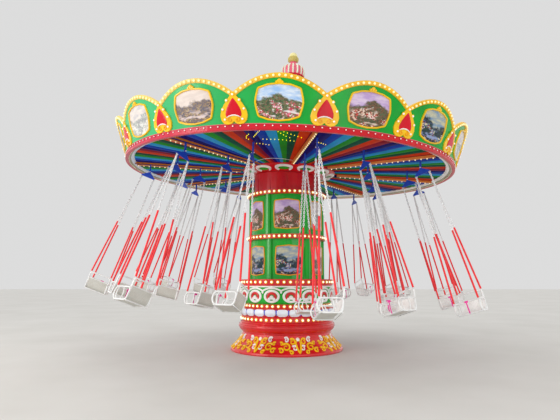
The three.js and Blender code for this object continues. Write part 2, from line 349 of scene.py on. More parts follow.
def plate(place, outline, thick, centre=(0.0, 0.0), base=0.0):
    """A raised plate on a wall, with flat places; its outline is seen whole from its centre."""
    top = base + thick
    steps = [(1.0, base), (1.0, base + thick * 0.7), (0.965, top), (0.65, top), (0.3, top)]
    count = len(outline)
    cu, cv = centre
    half_u = max(abs(u - cu) for u, v in outline)
    half_v = max(abs(v - cv) for u, v in outline)
    points, flat = [], []
    for scale, w in steps:
        for u, v in outline:
            du, dv = (u - cu) * scale, (v - cv) * scale
            points.append(place(cu + du, cv + dv, w))
            flat.append((0.5 + du / half_u / 2, 0.5 + dv / half_v / 2))
    points.append(place(cu, cv, top))
    flat.append((0.5, 0.5))
    faces = ring_faces(len(steps), count)
    last = (len(steps) - 1) * count
    for k in range(count):
        faces.append((last + k, last + (k + 1) % count, len(points) - 1))
    return points, faces, flat


def ribbon(place, path, width, thick, closed=False, base=0.0):
    """A raised strip with rounded edges along a (u, v) path; width is a number or one for each point."""
    section = [(-0.5, 0.0), (-0.44, 0.7), (-0.25, 1.0), (0.25, 1.0), (0.44, 0.7), (0.5, 0.0)]
    count = len(path)
    widths = width if isinstance(width, list) else [width] * count
    points = []
    for (u, v), (nu, nv), wide in zip(path, normals(path, closed), widths):
        for side, high in section:
            points.append(place(u + nu * side * wide, v + nv * side * wide, base + high * thick))
    faces = []
    size = len(section)
    for i in range(count if closed else count - 1):
        a = i * size
        b = (i + 1) % count * size
        for k in range(size - 1):
            faces.append((a + k, b + k, b + k + 1, a + k + 1))
    if not closed:
        faces.append(tuple(range(size)))
        faces.append(tuple(reversed(range((count - 1) * size, count * size))))
    return points, faces


def spiral(centre, radius, start, turns, hand, steps=18):
    """A (u, v) path that winds inwards round the centre."""
    path = []
    for k in range(steps + 1):
        share = k / steps
        reach = radius * (1 - 0.78 * share)
        path += arc(centre, reach, reach, [start + hand * 2 * math.pi * turns * share])
    return path


def spaced(path, count):
    """Points at even spacing along a (u, v) path, half a step in from its ends."""
    lengths = [0.0]
    for (u0, v0), (u1, v1) in zip(path, path[1:]):
        lengths.append(lengths[-1] + math.hypot(u1 - u0, v1 - v0))
    found = []
    for i in range(count):
        want = lengths[-1] * (i + 0.5) / count
        k = max(j for j in range(len(path) - 1) if lengths[j] <= want)
        share = (want - lengths[k]) / (lengths[k + 1] - lengths[k])
        (u0, v0), (u1, v1) = path[k], path[k + 1]
        found.append((u0 + (u1 - u0) * share, v0 + (v1 - v0) * share))
    return found


def wall_knob(place, u, v, profile, sides=10, base=0.0, size=1.0):
    """A knob that stands straight out of a wall."""
    out = (place(u, v, 1.0) - place(u, v, 0.0)).normalized()
    return knob(place(u, v, base), out, profile, sides, size)


def add_lamp(shape, place, u, v, radius, base=0.0, glass=1):
    """A round lamp on a wall: a low cup in the first paint with a glass bulb in it."""
    cup = [(1.7, 0), (1.65, 0.35), (1.05, 0.4)]
    bulb = [(0.95, 0.4), (1.0, 0.85), (0.78, 1.35), (0.35, 1.62)]
    for profile, number in ((cup, 0), (bulb, glass)):
        shape.add(wall_knob(place, u, v, profile, base=base, size=radius), number)


def hanging_lamp(at, radius):
    """A small bulb that points down."""
    return knob(at, Vector((0, 0, -1)), [(0.8, 0.0), (1.0, 0.7), (0.8, 1.5), (0.3, 1.9)], 8, radius)


# Materials

def linear(code):
    """A shader colour from a colour written as red, green and blue in hexadecimal."""
    values = [int(code[i:i + 2], 16) / 255 for i in (0, 2, 4)]
    return tuple(((v + 0.055) / 1.055) ** 2.4 if v > 0.04045 else v / 12.92 for v in values) + (1.0,)


def grey(value):
    return (value, value, value, 1)


class Nodes:
    """Short ways to add and join shader nodes."""

    def __init__(self, name):
        self.material = bpy.data.materials.new(name)
        self.material.use_nodes = True
        self.tree = self.material.node_tree
        self.shader = self.tree.nodes["Principled BSDF"]

    def fill(self, socket, value):
        if isinstance(value, bpy.types.NodeSocket):
            self.tree.links.new(value, socket)
        else:
            socket.default_value = value

    def node(self, kind, values=None, **settings):
        made = self.tree.nodes.new(kind)
        for key, value in settings.items():
            setattr(made, key, value)
        for key, value in (values or {}).items():
            self.fill(made.inputs[key], value)
        return made

    def where(self, kind="Object"):
        return self.node("ShaderNodeTexCoord").outputs[kind]

    def axis(self, where, letter):
        return self.node("ShaderNodeSeparateXYZ", {0: where}).outputs[letter]

    def math(self, operation, a, b=0.0):
        return self.node("ShaderNodeMath", {0: a, 1: b}, operation=operation).outputs[0]

    def vector(self, operation, a, b):
        return self.node("ShaderNodeVectorMath", {0: a, 1: b}, operation=operation).outputs[0]

    def mix(self, factor, a, b):
        return self.node("ShaderNodeMix", {0: factor, 6: a, 7: b}, data_type="RGBA").outputs[2]

    def noise(self, where, scale, detail=3.0):
        values = {"Vector": where, "Scale": scale, "Detail": detail, "Roughness": 0.55}
        return self.node("ShaderNodeTexNoise", values).outputs["Fac"]

    def ramp(self, factor, stops, interpolation="LINEAR"):
        made = self.node("ShaderNodeValToRGB", {0: factor})
        ramp = made.color_ramp
        ramp.interpolation = interpolation
        while len(ramp.elements) < len(stops):
            ramp.elements.new(0.5)
        for element, (position, colour) in zip(ramp.elements, stops):
            element.position = position
            element.color = colour
        return made.outputs[0]

    def shades(self, factor, code, stops):
        """Darker and lighter shades of one colour; each stop is a position and a strength."""
        def shade(strength):
            return tuple(min(1.0, value * strength) for value in linear(code)[:3]) + (1.0,)

        return self.ramp(factor, [(position, shade(strength)) for position, strength in stops])

    def fade(self, factor, start, end, first=0.0, last=1.0):
        """A grey that goes from its first to its last value while the factor goes from start to end."""
        return self.ramp(factor, [(start, grey(first)), (end, grey(last))])

    def bump(self, height, strength, distance):
        values = {"Height": height, "Strength": strength, "Distance": distance}
        self.set(Normal=self.node("ShaderNodeBump", values).outputs[0])

    def set(self, **values):
        for key, value in values.items():
            self.fill(self.shader.inputs[key.replace("_", " ")], value)


def paint(name, code, rough=0.32, coat=0.15, scale=1.6, wear=0.08, gloss=0.4, left_sheen=None):
    """Gloss paint with uneven fading, rain streaks and fine grain; it can turn to another colour towards
    the left, a painted sheen.
    """
    nodes = Nodes(name)
    where = nodes.where()
    tone = nodes.shades(nodes.noise(where, scale), code, [(0.3, 0.84), (0.5, 1.0), (0.75, 1.12)])
    streaks = nodes.noise(nodes.vector("MULTIPLY", where, (9.0, 9.0, 0.7)), 1.0, 4.0)
    tone = nodes.mix(nodes.fade(streaks, 0.52, 0.85, last=wear * 2), tone, linear("6e5a48"))
    # Painted sheen: towards the left the colour turns to the one given, as where the light falls.
    if left_sheen:
        left = nodes.math("MULTIPLY", nodes.axis(where, "X"), -0.25)
        tone = nodes.mix(nodes.fade(left, 0.0, 0.7, last=0.8), tone, linear(left_sheen))
    grain = nodes.noise(where, 60.0, 2.0)
    roughness = nodes.fade(grain, 0.3, 0.7, rough * 0.85, rough * 1.25)
    nodes.set(Base_Color=tone, Roughness=roughness, Specular_IOR_Level=gloss)
    nodes.set(Coat_Weight=coat, Coat_Roughness=0.12)
    ripple = nodes.math("MULTIPLY", nodes.noise(where, 5.0, 2.0), 0.8)
    nodes.bump(nodes.math("ADD", ripple, nodes.math("MULTIPLY", grain, 0.06)), 0.3, 0.01)
    return nodes.material


def lit_glass(name, code, strength):
    """The glass of a lit lamp, a little uneven in its light."""
    nodes = Nodes(name)
    glow = nodes.shades(nodes.noise(nodes.where(), 30.0, 1.0), code, [(0.3, 0.9), (0.7, 1.1)])
    nodes.set(Base_Color=glow, Roughness=0.15, Emission_Color=glow, Emission_Strength=strength)
    nodes.material.cycles.emission_sampling = "NONE"
    return nodes.material


def landscape(name, sky, trees, blossom, light, offset):
    """A landscape painted in dabs: clouds, trees, blossom below them and a patch of light."""
    nodes = Nodes(name)
    where = nodes.where("UV")
    moved = nodes.vector("ADD", where, (offset, offset * 0.7, offset))
    height = nodes.axis(where, "Y")
    hills = nodes.math("MULTIPLY", nodes.math("SUBTRACT", nodes.noise(moved, 2.4, 4.0), 0.5), 0.9)
    level = nodes.math("ADD", height, hills)
    dabs = nodes.node("ShaderNodeTexVoronoi", {"Vector": moved, "Scale": 34.0})
    chance = nodes.axis(dabs.outputs["Color"], "X")
    clouds = nodes.noise(nodes.vector("MULTIPLY", moved, (1.2, 3.0, 1.0)), 3.0, 5.0)
    sky_tone = nodes.ramp(clouds, [(0.38, linear(sky[0])), (0.62, linear(sky[1]))])

    def dab_tones(codes):
        return nodes.ramp(chance, [(k / len(codes), linear(c)) for k, c in enumerate(codes)], "CONSTANT")

    patches = nodes.fade(nodes.noise(moved, 4.5, 2.0), 0.46, 0.54)
    low_down = nodes.fade(level, 0.42, 0.52, 1.0, 0.0)
    in_blossom = nodes.math("MULTIPLY", patches, low_down)
    planted = nodes.mix(in_blossom, dab_tones(trees), dab_tones(blossom))
    glint = nodes.noise(nodes.vector("MULTIPLY", moved, (1.0, 2.2, 1.0)), 2.8, 2.0)
    in_light = nodes.math("MULTIPLY", nodes.fade(glint, 0.55, 0.63), nodes.fade(height, 0.2, 0.5, 0.9, 0.0))
    lit = nodes.mix(in_light, planted, linear(light))
    above = nodes.fade(level, 0.56, 0.64)
    nodes.set(Base_Color=nodes.mix(above, lit, sky_tone), Roughness=0.4, Specular_IOR_Level=0.3)
    nodes.bump(chance, 0.1, 0.003)
    return nodes.material


def slatted(name, code, letter, count):
    """Sheet metal pressed into fine slats that run across one axis."""
    nodes = Nodes(name)
    where = nodes.where()
    wave = nodes.math("SINE", nodes.math("MULTIPLY", nodes.axis(where, letter), math.pi * count))
    wave = nodes.math("ABSOLUTE", wave)
    # Painted shade: the colour darkens to half in the grooves between the slats.
    groove_shade = nodes.shades(wave, code, [(0.0, 0.5), (0.22, 1.0)])
    grime = nodes.fade(nodes.noise(where, 7.0, 4.0), 0.45, 0.8, last=0.3)
    nodes.set(Base_Color=nodes.mix(grime, groove_shade, linear("8d8577")), Roughness=0.45)
    nodes.bump(nodes.math("MINIMUM", wave, 0.4), 0.6, 0.004)
    return nodes.material


def chain_metal(name, code):
    nodes = Nodes(name)
    patches = nodes.noise(nodes.where(), 35.0)
    tone = nodes.shades(patches, code, [(0.35, 0.7), (0.6, 1.0)])
    nodes.set(Base_Color=tone, Metallic=0.1, Roughness=0.35)
    nodes.bump(patches, 0.2, 0.002)
    return nodes.material


RED = paint("red_paint", "d80a18")
BASE_RED = paint("base_red_paint", "d80a14", coat=0.5)
CRIMSON = paint("crimson_paint", "d00a24", gloss=0.2)
# The rim, the boards and their edges turn lighter towards the left: painted sheen.
RIM_RED = paint("rim_red_paint", "cc0a1e", gloss=0.2, left_sheen="c43450")
# A red a little darker than the red paint, for the neck and its seams: painted shade under the canopy.
SHADED_RED = paint("shaded_red_paint", "cc0a1c")
GREEN = paint("green_paint", "02a826", coat=0.45, gloss=0.15)
BOARD_GREEN = paint("board_green_paint", "0aa634", gloss=0.2, left_sheen="48c080")
YELLOW = paint("yellow_paint", "f8c400")
GOLD = paint("gold_paint", "f0a400")
EDGE_YELLOW = paint("edge_yellow_paint", "f6bc10", left_sheen="ecd278")
WHITE = paint("white_paint", "f4f2ee", wear=0.1)
LAVENDER = paint("lavender_paint", "5a6ce0")
# Pink for the top moulding of the rim band: a painted highlight.
PINK = paint("pink_paint", "e85a74")
FINIAL_PINK = paint("finial_pink_paint", "e4607c")
FINIAL_CREAM = paint("finial_cream_paint", "e2e8d2")
OLIVE = paint("olive_paint", "c9b864")
DOME_CREAM = paint("dome_cream_paint", "f4e8a4")
PETAL = paint("petal_paint", "eaf0fc", wear=0.1)
# The white cove turns light blue towards the left: a painted reflection of the blue stripes.
COVE = paint("cove_paint", "fafaf6", left_sheen="c8def8")
# Olive grey for the inner wall of the rim and the outer ring of the cove: painted shade.
COVE_SHADE = paint("cove_shade_paint", "9a9678", gloss=0.1)
CREAM = paint("cream_paint", "ece6c8", gloss=0.2)
BLUE = paint("blue_paint", "0b3fb4")
RIB_PAINT = paint("rib_paint", "d47a2c", gloss=0.2)
TUBE_WHITE = paint("white_tube_paint", "e9eae9", rough=0.28, scale=6.0)
SLEEVE_RED = paint("sleeve_red", "f0242c", rough=0.42, scale=8.0)
STRAP_PINK = paint("strap_pink", "f03aa4", rough=0.6, coat=0.0, scale=12.0)
STEEL = chain_metal("steel", "b9bcc0")
CHAIN_STEEL = chain_metal("chain_steel", "f4f5f6")
SEAT_OUTSIDE = slatted("seat_outside", "cdccc4", "Z", 45)
SEAT_INSIDE = slatted("seat_inside", "f6f7f4", "X", 36)
LAMP_GLASS = lit_glass("lamp_glass", "fff6dc", 0.9)
SMALL_GLASS = lit_glass("small_lamp_glass", "fff2ee", 0.2)
EDGE_GLASS = lit_glass("edge_lamp_glass", "fff0b4", 0.3)
RIB_GLASS = lit_glass("rib_lamp_glass", "fff2c0", 0.5)
FAIRY_GLASS = lit_glass("fairy_lamp_glass", "ffe600", 1.2)
STRIPES = [
    paint(f"stripe_{name}", code, coat=0.0, gloss=0.006)
    for name, code in (("navy", "140f6a"), ("blue", "0e42b0"), ("sky", "2c98d4"), ("green", "1e8e2a"),
                       ("dark_green", "06503e"), ("orange", "d03a14"), ("maroon", "8c1a30"))
]
PICTURE_PAINTS = [
    landscape("picture_lake", ("c8c4c6", "e6dcd4"), ("a2a8a2", "c4c8c0", "9c9aa2"),
              ("dcdeda", "b4bcb6", "e8e6e0", "c6c2bc"), "eceeee", 6.7),
    landscape("picture_mist", ("d6c8c0", "e4d6ce"), ("6f6264", "8a7560", "5e5c6c"),
              ("9a8458", "84604e", "b09a7c", "4c4a5c"), "dccaca", 12.6),
    landscape("picture_valley", ("9cc2f0", "dce8f6"), ("44563c", "5f704c", "7e6850"),
              ("b4364a", "f0e2e0", "6c7c44", "d86a80"), "f0e8ec", 0.0),
    landscape("picture_dusk", ("bc9ed2", "dcc8e2"), ("4e4e38", "76523c", "5e6446"),
              ("b8342a", "dcbca6", "6e4a34", "ecdcd6"), "e4ccbe", 3.1),
    landscape("picture_garden", ("7c98b4", "ccc8a4"), ("0e1c34", "1c3a4e", "20402c"),
              ("a02030", "5c80b4", "1c3424", "d8d0b0"), "90a0cc", 9.4),
]


# CAD nodes

def dress_node(name, paints, choose=None, sharp=40, lean=UPRIGHT):
    """Gives a CAD node its paints; choose picks one for each face from its upright centre and normal."""
    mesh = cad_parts[name].data
    mesh.materials.clear()
    dress_mesh(mesh, paints, sharp)
    if choose:
        back = lean.inverted()
        turn = back.to_3x3()
        for face in mesh.polygons:
            face.material_index = choose(back @ face.center, turn @ face.normal)


def dress_column_nodes():
    for name, one in (("base_bell", BASE_RED), ("base_bowl", BASE_RED), ("petal_band", RED),
                      ("neck_drum", SHADED_RED), ("slew_bearing", STEEL)):
        dress_node(name, [one])
    splits = (("ornament_band", 1.59, 40), ("lower_drum", 2.739, 50), ("upper_drum", 3.854, 50))
    for name, split, sharp in splits:
        dress_node(name, [GREEN, RED], lambda at, _, split=split: int(at.z > split), sharp)


def dress_canopy_nodes():
    for name, one in (("crown_ring", RED), ("roof", WHITE), ("finial_crown", FINIAL_PINK)):
        dress_node(name, [one])
    inside = RIM_INSIDE + 0.02
    under_rib = CEILING - 0.0458

    def rim_side(at, normal):
        return int(math.hypot(at.x, at.y) < inside and normal.z > -0.5)

    # The inner faces of the rim band take the olive grey, painted shade.
    dress_node("rim_band", [RIM_RED, COVE_SHADE], rim_side, lean=LEAN)
    dress_node("ceiling", [WHITE, BLUE], lambda at, _: int(at.z < CEILING - 0.001), lean=LEAN)
    for i, turn in enumerate(steps_round(RIBS, FIRST_RIB)):
        across = around(1, turn + math.pi / 2, 0)

        def arm_side(at, normal, across=across):
            return 1 if at.z < under_rib else 2 * int(normal.dot(across) > 0.5)

        dress_node(f"arm_{i + 1}", [STRIPES[0], BLUE, RIB_PAINT], arm_side, lean=LEAN)


# Column pieces

def make_lamp_rings():
    drum_rings = ((DRUM_LAMP_RADIUS, 2.795), (DRUM_LAMP_RADIUS, 3.91))
    for i, (radius, height) in enumerate(((1.155, 0.7925), (1.115, 1.11), (1.192, 1.6825)) + drum_rings):
        shape = Shape()
        for turn in steps_round(LAMPS_ROUND, shift=0.5):
            add_lamp(shape, upright(radius, height, turn), 0.0, 0.0, COLUMN_LAMP)
        column_piece(f"column_lamps_{i + 1}", shape, [YELLOW, LAMP_GLASS])


def make_drum_pictures(name, centre, half_height, first_turn, first_picture):
    """Framed pictures with bowed sides, shoulders, and arched tops and bottoms."""
    shape = Shape()
    half_width = 0.33
    quarter = four_fold([(1.0, 0.0), (0.94, 0.86), (0.86, 0.92), (0.0, 1.0)], 0.12, 6)
    outline = [(x * half_width, y * half_height) for x, y in quarter]
    for i, turn in enumerate(steps_round(PICTURES, first_turn)):
        place = upright(DRUM_RADIUS, centre, turn)
        shape.add(plate(place, outline, 0.008), 1 + (i * 2 + first_picture) % len(PICTURE_PAINTS))
        shape.add(ribbon(place, outline, 0.03, 0.022, closed=True))
    column_piece(name, shape, [GOLD] + PICTURE_PAINTS)


def make_ornament_band():
    """White rings round red arches, with a white scalloped fringe above them."""
    shape = Shape()
    count = 16
    radius = 1.179
    half = math.pi * radius / count
    ring = arc((0.0, 0.148), 0.172, 0.128, steps_round(24))
    arch = arc((0.0, 0.14), 0.092, 0.08, sweep(0, 180, 10))
    arch = [(0.098, 0.08)] + arch + [(-0.098, 0.08)]
    lobes = ((0.0, 0.12, 0.05), (-0.06, 0.085, 0.036), (0.06, 0.085, 0.036))
    fringe = [(half * k / 6, 0.275 + 0.065 * (1 - (k / 6) ** 2)) for k in range(-6, 7)]
    drop = arc((half, 0.25), 0.026, 0.04, steps_round(12))
    for turn in steps_round(count, math.radians(4.2)):
        place = upright(radius, 1.2, turn)
        shape.add(ribbon(place, ring, 0.058, 0.022, closed=True))
        shape.add(ribbon(place, arch, 0.066, 0.016), 1)
        for u, v, size in lobes:
            shape.add(plate(place, arc((u, v), size, size, steps_round(12)), 0.02, (u, v)))
        shape.add(ribbon(place, fringe, 0.044, 0.02))
        shape.add(plate(place, drop, 0.022, (half, 0.25)))
    shape.add(moulding(radius, 1.575, 0.018))
    column_piece("ornament_rings", shape, [WHITE, RED])


def make_petals():
    """White petals with a lavender tongue between each two."""
    shape = Shape()
    count = 26
    profile = [(1.15, 0.852), (1.215, 0.95), (1.2, 1.045), (1.15, 1.058)]
    half = math.pi * profile[0][0] / count
    middle = 0.125
    petal = []
    for t in steps_round(28):
        x, y = math.cos(t), math.sin(t)
        u = math.copysign(abs(x) ** 0.6, x) * half * 0.9
        v = math.copysign(abs(y) ** (0.9 if y < 0 else 0.45), y) * 0.085
        petal.append((u, middle + v))
    tongue = [(half, 0.2), (half, 0.12), (half, 0.055)]
    for turn in steps_round(count, shift=0.6):
        place = on_wall(profile, turn)
        shape.add(plate(place, petal, 0.02, (0.0, middle)))
        shape.add(ribbon(place, tongue, [0.03, 0.026, 0.012], 0.012), 1)
    column_piece("petals", shape, [PETAL, LAVENDER])


def make_bowl_rings():
    shape = Shape()
    rings = ((1.212, 0.65, 0.014), (1.172, 0.7, 0.014), (1.115, 0.47, 0.022), (1.228, 0.6, 0.009))
    for radius, height, size in rings:
        shape.add(moulding(radius, height, size))
    column_piece("bowl_rings", shape, [BASE_RED])


def make_foot_scrolls():
    """Clusters of yellow scrolls with white tips round the foot; the white curls and knobs are painted
    highlights.
    """
    shape = Shape()
    profile = [(1.43, 0.025), (1.42, 0.06), (1.33, 0.14), (1.22, 0.25), (1.14, 0.37), (1.11, 0.465)]
    # Each curl: its place across and up, size and turns, and whether it is white, a painted highlight.
    curls = [
        (0.33, 0.24, 0.115, 1.3, 0), (0.16, 0.385, 0.09, 1.3, 0), (0.11, 0.21, 0.08, 1.1, 1),
        (0.33, 0.43, 0.07, 1.2, 1), (0.46, 0.14, 0.075, 1.1, 0), (0.21, 0.09, 0.06, 1.0, 0),
        (0.46, 0.33, 0.05, 1.0, 0),
    ]
    for turn in steps_round(8, math.radians(-33)):
        place = on_wall(profile, turn)
        for hand in (-1, 1):
            for u, v, size, turns, white_highlight in curls:
                path = spiral((hand * u, v), size, math.pi / 2 - hand * 0.9, turns, hand)
                widths = [0.052 - 0.034 * k / (len(path) - 1) for k in range(len(path))]
                shape.add(ribbon(place, path, widths, 0.02), white_highlight)
            leaf = [(0.0, 0.06), (hand * 0.05, 0.2), (hand * 0.07, 0.34), (hand * 0.03, 0.48)]
            shape.add(ribbon(place, leaf, [0.03, 0.06, 0.05, 0.014], 0.022))
        shape.add(wall_knob(place, 0.0, 0.44, [(0.05, 0.0), (0.044, 0.022), (0.02, 0.034)]), 1)
    column_piece("foot_scrolls", shape, [YELLOW, WHITE])


def make_neck_seams():
    shape = Shape()
    for turn in steps_round(12):
        place = upright(NECK_RADIUS + 0.002, NECK_FOOT, turn)
        shape.add(ribbon(place, [(0.0, 0.01), (0.0, 0.18), (0.0, 0.36)], 0.03, 0.006))
    shape.add(moulding(NECK_RADIUS, NECK_FOOT + 0.014, 0.018))
    column_piece("neck_seams", shape, [SHADED_RED])


def make_column():
    dress_column_nodes()
    make_lamp_rings()
    make_drum_pictures("upper_pictures", 3.353, 0.372, 0.0, 3)
    make_drum_pictures("lower_pictures", 2.212, 0.365, math.radians(2.5), 4)
    make_ornament_band()
    make_petals()
    make_bowl_rings()
    make_foot_scrolls()
    make_neck_seams()


# Canopy pieces

def board_top(across):
    """Height of the boards along their slope; across runs from -1 to 1 over one board."""
    rise = BOARD_VALLEY + (BOARD_PEAK - BOARD_VALLEY) * (1 - across * across)
    return rise * math.hypot(1, BOARD_LEAN)


def make_boards():
    shape = Shape()
    count = BOARDS * 24
    rows = 4
    place = board_wall(FIRST_RIB)

    def point(share, up, depth):
        across = 2 * ((share * BOARDS) % 1.0) - 1
        return place(share * 2 * math.pi * RIM_RADIUS, board_top(across) * up, -BOARD_THICKNESS * depth)

    shape.add(grid(count, rows, lambda share, row: point(share, row, 0), closed=True))
    shape.add(grid(count, rows, lambda share, row: point(share, 1 - row, 1), closed=True))
    shape.add(grid(count, 1, lambda share, row: point(share, 1, row), closed=True), 1)
    piece = canopy_piece("board_ring", shape, [BOARD_GREEN, YELLOW])
    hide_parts("rounding_boards")


def make_board_edges():
    """Yellow bands under the arched edges, before and behind, with lamps before."""
    shape = Shape()
    half = math.pi * RIM_RADIUS / BOARDS
    inset = 0.045
    path = []
    for k in range(25):
        across = k / 12 - 1
        slope = -2 * across * (BOARD_PEAK - BOARD_VALLEY) / half
        length = math.hypot(1, slope)
        path.append((across * half + inset * slope / length, board_top(across) - inset / length))
    lamp_path = spaced(path, 17)
    for turn in steps_round(BOARDS, FIRST_RIB, 0.5):
        place = board_wall(turn)

        def behind(u, v, w=0.0, place=place):
            return place(-u, v, -BOARD_THICKNESS - w)

        shape.add(ribbon(place, path, 0.088, 0.016))
        shape.add(ribbon(behind, path, 0.088, 0.012))
        for u, v in lamp_path:
            add_lamp(shape, place, u, v, 0.023, base=0.012)
    canopy_piece("board_edges", shape, [EDGE_YELLOW, EDGE_GLASS])


def make_cartouches():
    """Framed pictures on the boards, with three knobs over each."""
    shape = Shape()
    quarter = [(0.422, 0.0), (0.412, 0.08), (0.374, 0.228), (0.36, 0.25), (0.2, 0.307), (0.0, 0.327)]
    outline = four_fold(quarter, 0.03, 4)
    knobs = ((0.0, 0.365, 0.042), (-0.045, 0.348, 0.028), (0.045, 0.348, 0.028))
    for i, turn in enumerate(steps_round(BOARDS, FIRST_RIB, 0.5)):
        place = board_wall(turn, 0.378)
        shape.add(plate(place, outline, 0.008), 1 + (i + RIBS) % BOARDS % len(PICTURE_PAINTS))
        shape.add(ribbon(place, outline, 0.036, 0.03, closed=True))
        for u, v, size in knobs:
            shape.add(wall_knob(place, u, v, [(size, 0.0), (size, 0.02), (size * 0.6, 0.036)], 12))
    canopy_piece("cartouches", shape, [YELLOW] + PICTURE_PAINTS)


def spade(right, half_width, height, low):
    """A pointed outline, hollowed below, from the shares of its right half."""
    outline = right + [(-x, y) for x, y in reversed(right[1:-1])]
    return [(x * half_width, low + y * height) for x, y in outline]


def make_spades():
    """Heart-like spades with lamps that cover the joints between boards."""
    shape = Shape()
    outside = spade([(0.0, 0.10), (0.08, 0.06), (0.24, 0.015), (0.48, 0.0), (0.74, 0.03), (0.93, 0.13),
                     (1.0, 0.28), (0.92, 0.44), (0.68, 0.62), (0.38, 0.79), (0.13, 0.93), (0.0, 1.0)],
                    0.262, 0.594, -0.013)
    field = spade([(0.0, 0.1), (0.45, 0.075), (0.86, 0.0), (1.0, 0.13), (0.96, 0.30), (0.77, 0.51),
                   (0.47, 0.74), (0.18, 0.92), (0.0, 1.0)], 0.152, 0.345, 0.12)
    lamps = [(0.0, 0.529), (0.118, 0.425), (0.2, 0.268), (0.168, 0.085)]
    # A white arch over the foot of the red field: a painted highlight.
    arch = [(-0.135, 0.118), (-0.09, 0.142), (-0.03, 0.158), (0.03, 0.158), (0.09, 0.142), (0.135, 0.118)]
    for turn in steps_round(BOARDS, FIRST_RIB):
        place = board_wall(turn)
        shape.add(plate(place, outside, 0.03, (0.0, 0.2)))
        shape.add(plate(place, field, 0.008, (0.0, 0.25), base=0.03), 1)
        shape.add(ribbon(place, arch, [0.01, 0.02, 0.024, 0.024, 0.02, 0.01], 0.012, base=0.034), 2)
        for hand in (-1, 1):
            curl = spiral((hand * 0.07, 0.078), 0.05, math.pi / 2, 1.0, -hand, 14)
            shape.add(ribbon(place, curl, 0.024, 0.014, base=0.03), 3)
        for u, v in lamps:
            for hand in ((1,) if u == 0 else (-1, 1)):
                add_lamp(shape, place, hand * u, v, 0.02, base=0.028, glass=4)
    canopy_piece("spades", shape, [YELLOW, CRIMSON, WHITE, GOLD, SMALL_GLASS])


def make_rim_trim():
    """Lamps and mouldings on the rim band, and a white cove inside it."""
    shape = Shape()
    for turn in steps_round(RIM_LAMPS, shift=0.5):
        add_lamp(shape, upright(RIM_RADIUS, RIM_BOTTOM + 0.072, turn), 0.0, 0.0, 0.0125)
    shape.add(moulding(RIM_RADIUS, RIM_BOTTOM + 0.008, 0.008, 192))
    # The top moulding is pink, a painted highlight along the band's upper edge.
    shape.add(moulding(RIM_RADIUS, RIM_TOP - 0.004, 0.008, 192), 3)
    # The cove from inside out: white, then olive grey as painted shade, then a cream lip.
    coves = [
        (2, [(-0.145, -0.002), (-0.13, -0.022), (-0.095, -0.042), (-0.066, -0.052), (-0.06, -0.046)]),
        (4, [(-0.06, -0.046), (-0.04, -0.054), (-0.02, -0.056)]),
        (5, [(-0.02, -0.056), (-0.018, -0.08), (-0.008, -0.086), (-0.001, -0.07)]),
    ]
    for number, cove in coves:
        shape.add(turned([(RIM_INSIDE + r, CEILING + z) for r, z in cove], 128), number)
    lip = [(-0.03, 0.003), (-0.024, -0.004), (0.004, -0.004), (0.006, 0.004)]
    shape.add(turned([(RIM_RADIUS + r, RIM_BOTTOM + z) for r, z in lip], 192))
    canopy_piece("rim_trim", shape, [RIM_RED, SMALL_GLASS, COVE, PINK, COVE_SHADE, CREAM])


def make_ceiling_panels():
    """Seven folded stripes in each of sixteen bays, inside the cove; they run along the lamp battens."""
    shape = Shape()
    count = BOARDS * len(STRIPES)
    step = 2 * math.pi / count
    fold = 0.009
    for i in range(count):
        start = FIRST_RIB + step * (i + FIRST_STRIPE)

        def place(share, row, start=start):
            across = 1 - share
            radius = PANEL_OUTSIDE + (PANEL_INSIDE - PANEL_OUTSIDE) * row
            turn = start + step * across - LAMPS_BESIDE_RIB / radius
            return around(radius, turn, CEILING - 0.003 - fold * math.sin(math.pi * across))

        shape.add(grid(4, 6, place), i % len(STRIPES))
    canopy_piece("ceiling_panels", shape, STRIPES, sharp=60)


def make_rib_lamps():
    """A painted batten beside each rib, with a row of lamps along it."""
    shape = Shape()
    low, high = CEILING - 0.062, CEILING - 0.008
    near, far = 1.3, PANEL_OUTSIDE
    left, right = -0.138, -0.062
    lamps = 20
    first_lamp, last_lamp = 1.4, 3.96
    section = [(left, high), (left + 0.006, low), (right - 0.006, low), (right, high)]
    faces = ring_faces(2, 4) + [(3, 2, 1, 0), (4, 5, 6, 7)]
    for turn in steps_round(RIBS, FIRST_RIB):
        along = around(1, turn, 0)
        across = around(1, turn + math.pi / 2, 0)
        points = [along * r + across * u + Vector((0, 0, z)) for r in (near, far) for u, z in section]
        shape.add((points, faces))
        for k in range(lamps):
            reach = first_lamp + (last_lamp - first_lamp) * k / (lamps - 1)
            at = along * reach - across * LAMPS_BESIDE_RIB + Vector((0, 0, low))
            shape.add(hanging_lamp(at, 0.0145), 1)
    canopy_piece("rib_lamps", shape, [RIB_PAINT, RIB_GLASS])


def make_fairy_lights():
    """Loose strands of little yellow lamps under the bays nearest the front."""
    shape = Shape()
    strands = [
        (5, [(-13.0, 3.72), (-14.8, 3.56), (-15.6, 3.4), (-14.9, 3.3)]),
        (6, [(-12.8, 3.48), (-11.2, 3.66), (-10.2, 3.8), (-9.0, 3.93)]),
        (9, [(-10.8, 3.33), (-6.2, 3.31), (-2.6, 3.28), (1.4, 3.21)]),
        (5, [(-14.6, 3.03), (-12.3, 3.0), (-8.9, 2.87)]),
        (5, [(-4.5, 3.9), (-2.0, 3.54), (-0.2, 3.41)]),
        (6, [(-3.0, 3.88), (0.1, 3.66), (3.5, 3.46)]),
        (6, [(6.8, 3.29), (10.1, 3.22), (13.4, 3.11)]),
    ]
    for count, corners in strands:
        path = [around(r, math.radians(turn), 0).to_2d() for turn, r in corners]
        for x, y in spaced(path, count):
            shape.add(hanging_lamp(Vector((x, y, CEILING - 0.014)), 0.0085))
    canopy_piece("fairy_lights", shape, [FAIRY_GLASS])


